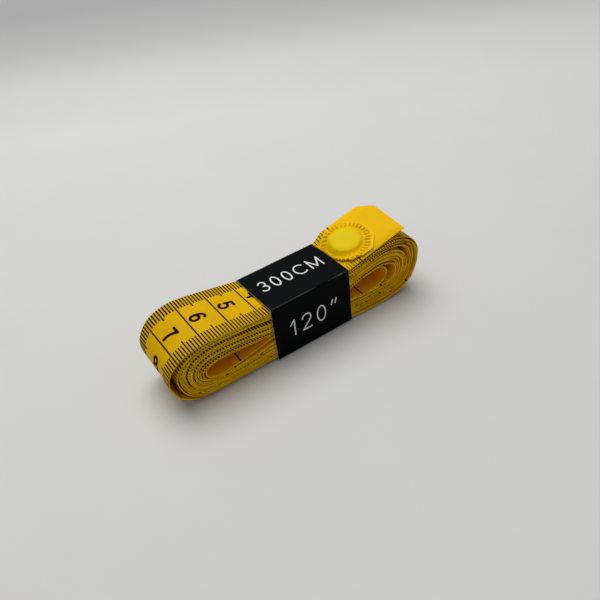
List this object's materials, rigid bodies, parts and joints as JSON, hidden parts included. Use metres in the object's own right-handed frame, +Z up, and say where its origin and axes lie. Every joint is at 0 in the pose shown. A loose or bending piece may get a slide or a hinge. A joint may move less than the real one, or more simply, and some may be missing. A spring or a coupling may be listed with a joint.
{
  "type": "measuring tape",
  "caption": "Soft measuring tape rolled flat with open eyes at both ends, held by a folded paper sleeve, with a press snap under a ribbed film cover on its raised outer end.",
  "frame": {"origin": "centre of the band's flat underside, on the surface that the roll stands on", "axes": "+X along the roll towards the outer end with the snap, +Y across the tape, away from the edge seen in the picture, +Z up"},
  "size_m": [0.0962, 0.021, 0.0286],
  "materials": {
    "tape": "yellow PVC-coated glass fibre, satin, printed black",
    "film": "yellow welded PVC film, glossy",
    "snap_metal": "nickel-plated, satin",
    "spring_wire": "drawn wire",
    "band_paper": "black printed coated paper, faint satin",
    "glue": "dull adhesive film"
  },
  "bodies": {
    "roll": {"tape_winding": "tape", "inner_end_cover": "film", "inner_snap_cap": "snap_metal", "inner_snap_stud": "snap_metal"},
    "band": {"paper_band": "band_paper", "band_glue_strip": "glue"},
    "free_end": {"tape_free_end": "tape", "outer_end_cover": "film", "outer_snap_cap": "snap_metal", "outer_snap_socket": "snap_metal", "outer_snap_spring": "spring_wire"}
  },
  "joints": [
    {"name": "band_slide", "type": "slide", "parent": "roll", "child": "band", "axis": [-1, 0, 0], "range_m": [0, 0.068]},
    {"name": "free_end_lift", "type": "hinge", "parent": "roll", "child": "free_end", "pos_m": [0.0158, 0, 0.021], "axis": [0, -1, 0], "range_deg": [0, 75], "stiffness_Nm_per_rad": 0.004}
  ]
}
